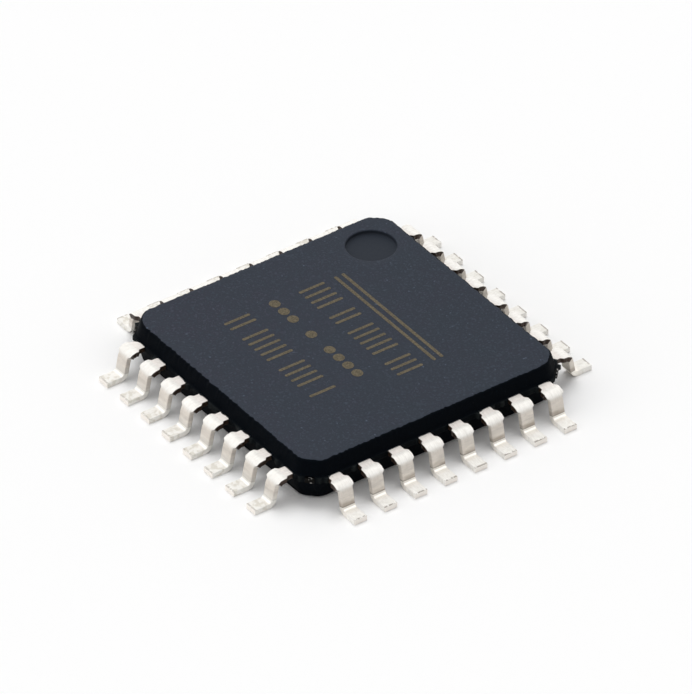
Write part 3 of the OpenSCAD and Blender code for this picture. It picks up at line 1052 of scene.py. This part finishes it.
def stage_floor(settings):
    """A wide white floor at the level of the feet."""
    half = 3.0
    corners = [(-half, -half, 0), (half, -half, 0), (half, half, 0), (-half, half, 0)]
    floor = plain_mesh("floor", corners, [(0, 1, 2, 3)])
    shader = Shader("white_floor")
    shader.feed(shader.surface, {"Base Color": (*settings.floor_colour, 1), "Roughness": 1.0,
                                 "Specular IOR Level": 0.0})
    floor.data.materials.append(shader.material)


def sky(settings):
    """White for the camera, a dome of soft light for gloss and glass, and a weak even light elsewhere.

    The dome is brightest round the key light and falls off smoothly with the angle from it.
    """
    world = bpy.data.worlds.new("studio")
    bpy.context.scene.world = world
    world.use_nodes = True
    nodes = Nodes(world.node_tree)
    azimuth, elevation = settings.key_azimuth, settings.key_elevation
    towards_key = (np.cos(azimuth) * np.cos(elevation), np.sin(azimuth) * np.cos(elevation),
                   np.sin(elevation))
    direction = nodes.add("TexCoord").outputs["Generated"]
    facing = nodes.add("VectorMath", {0: direction, 1: towards_key}, operation="DOT_PRODUCT")
    dome = nodes.spread(facing.outputs["Value"], -0.1, 0.6, settings.dome_low, settings.dome_high,
                        interpolation_type="SMOOTHSTEP")
    path = nodes.add("LightPath").outputs
    gloss = nodes.math("MAXIMUM", path["Is Glossy Ray"], path["Is Transmission Ray"])
    seen = nodes.spread(gloss, 0.0, 1.0, settings.sky_strength, dome)
    level = nodes.spread(path["Is Camera Ray"], 0.0, 1.0, seen, 1.0)
    nodes.feed(nodes.tree.nodes["Background"], {"Color": (1, 1, 1, 1), "Strength": level})


def soft_sun(settings, name):
    """A distant soft light, from the settings whose names start with its own."""
    light = bpy.data.lights.new(f"{name}_light", "SUN")
    light.energy = getattr(settings, f"{name}_strength")
    light.angle = getattr(settings, f"{name}_angle")
    lamp = placed(light.name, light)
    azimuth, elevation = (getattr(settings, f"{name}_{key}") for key in ("azimuth", "elevation"))
    lamp.rotation_euler = (0, np.pi / 2 - elevation, azimuth)
    lamp.visible_glossy = False


def aim_camera(settings, target):
    """A long lens that looks down at the target from its azimuth and elevation."""
    azimuth, elevation, roll = settings.camera_azimuth, settings.camera_elevation, settings.camera_roll
    back = np.array([np.sin(azimuth) * np.cos(elevation), -np.cos(azimuth) * np.cos(elevation),
                     np.sin(elevation)])
    right = np.array([np.cos(azimuth), np.sin(azimuth), 0])
    up = np.cross(back, right)
    turned_right = np.cos(roll) * right + np.sin(roll) * up
    turned_up = np.cos(roll) * up - np.sin(roll) * right
    pose = np.eye(4)
    pose[:3, 0], pose[:3, 1], pose[:3, 2] = turned_right, turned_up, back
    pose[:3, 3] = target + back * settings.camera_distance
    camera = placed("camera", bpy.data.cameras.new("camera"))
    camera.data.lens = settings.focal_length
    camera.data.sensor_width = 36.0
    camera.data.clip_start = 0.01
    camera.data.clip_end = 100.0
    camera.matrix_world = pose.T.tolist()
    bpy.context.scene.camera = camera


class CHIP_OT_stage(bpy.types.Operator):
    """Set the stage: white floor, soft light, and the camera"""

    bl_idname = "chip.stage"
    bl_label = "Stage"

    def execute(self, context):
        settings = context.scene.chip_stage
        stage_floor(settings)
        sky(settings)
        soft_sun(settings, "key")
        soft_sun(settings, "fill")
        aim_camera(settings, VIEW_MIDDLE)
        context.scene.view_settings.view_transform = "Standard"
        return {"FINISHED"}


# ---------------------------------------------------------------- add-on

OPERATORS = (CHIP_OT_moulded_body, CHIP_OT_gull_wing_leads, CHIP_OT_laser_marks,
             CHIP_OT_inner_pieces, CHIP_OT_stage)
SETTINGS = {"chip_body": BodySettings, "chip_leads": LeadSettings,
            "chip_marks": MarkSettings, "chip_stage": StageSettings}


class VIEW3D_PT_chip(bpy.types.Panel):
    """Sizes, colours and build steps of the quad flat package"""

    bl_label = "Quad flat package"
    bl_idname = "VIEW3D_PT_chip"
    bl_space_type = "VIEW_3D"
    bl_region_type = "UI"
    bl_category = "Chip"

    def draw(self, context):
        layout = self.layout
        for operator in OPERATORS:
            layout.operator(operator.bl_idname)
        for group_name in SETTINGS:
            box = layout.box()
            group = getattr(context.scene, group_name)
            for key in group.bl_rna.properties.keys():
                if key not in ("rna_type", "name"):
                    box.prop(group, key)


def register():
    for kind in (*SETTINGS.values(), *OPERATORS, VIEW3D_PT_chip):
        bpy.utils.register_class(kind)
    for name, kind in SETTINGS.items():
        setattr(bpy.types.Scene, name, PointerProperty(type=kind))


def unregister():
    for name in SETTINGS:
        delattr(bpy.types.Scene, name)
    for kind in (VIEW3D_PT_chip, *reversed(OPERATORS), *reversed(SETTINGS.values())):
        bpy.utils.unregister_class(kind)


def main():
    """Builds every piece round the frame."""
    register()
    bpy.ops.chip.moulded_body()
    bpy.ops.chip.gull_wing_leads()
    bpy.ops.chip.laser_marks()
    bpy.ops.chip.inner_pieces()
    bpy.ops.chip.stage()


if __name__ == "__main__":
    main()
